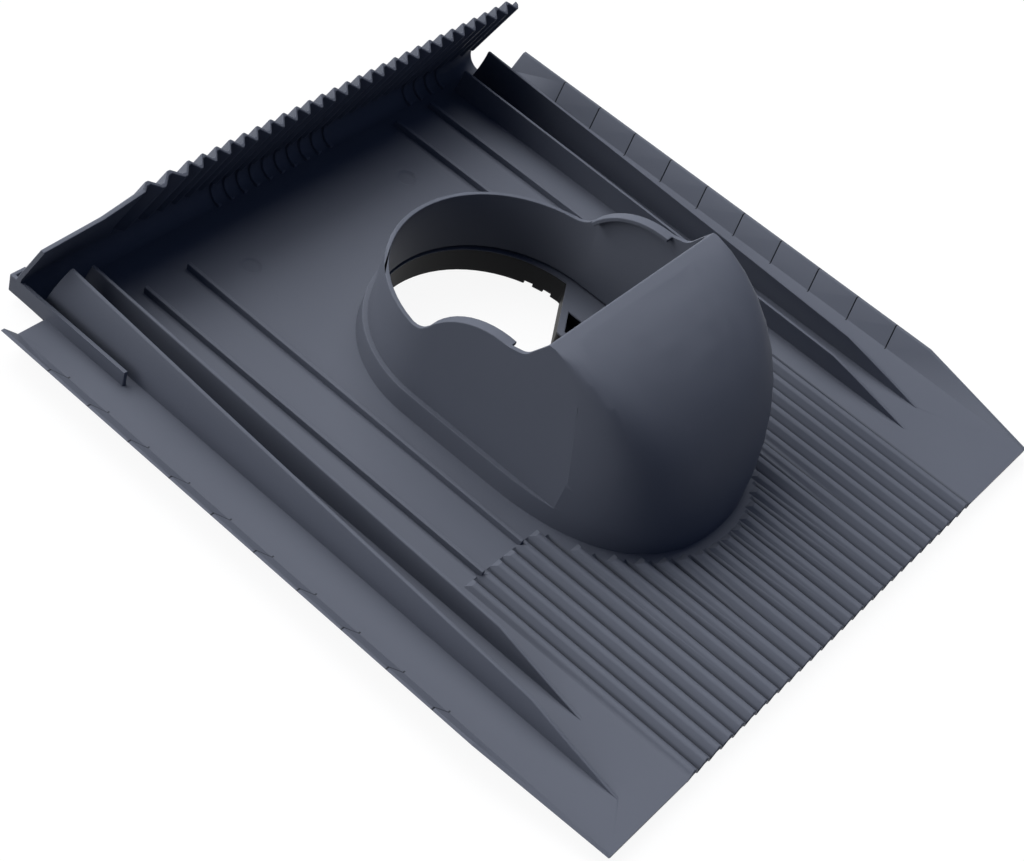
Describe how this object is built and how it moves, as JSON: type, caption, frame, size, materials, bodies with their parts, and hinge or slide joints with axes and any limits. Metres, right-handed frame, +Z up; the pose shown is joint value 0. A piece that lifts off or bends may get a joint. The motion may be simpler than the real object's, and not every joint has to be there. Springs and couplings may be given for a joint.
{
  "type": "roof vent base plate",
  "caption": "Moulded roof plate with an open hood over a pipe collar, a pleated apron, side lips and a leaning back wall, for leading a vent pipe through a tiled roof.",
  "frame": {"origin": "bottom centre of the plate's box, level with the lower rim of the pipe collar that the plate stands on", "axes": "+Z up from the sheet, +Y up the roof to the back wall, -Y down the roof to the pleated front edge, +X to the right seen from the front"},
  "size_m": [0.4172, 0.42, 0.1057],
  "materials": {
    "moulding": "fine matt grain, slate grey"
  },
  "bodies": {
    "root": {"base_plate": "moulding"}
  },
  "joints": []
}
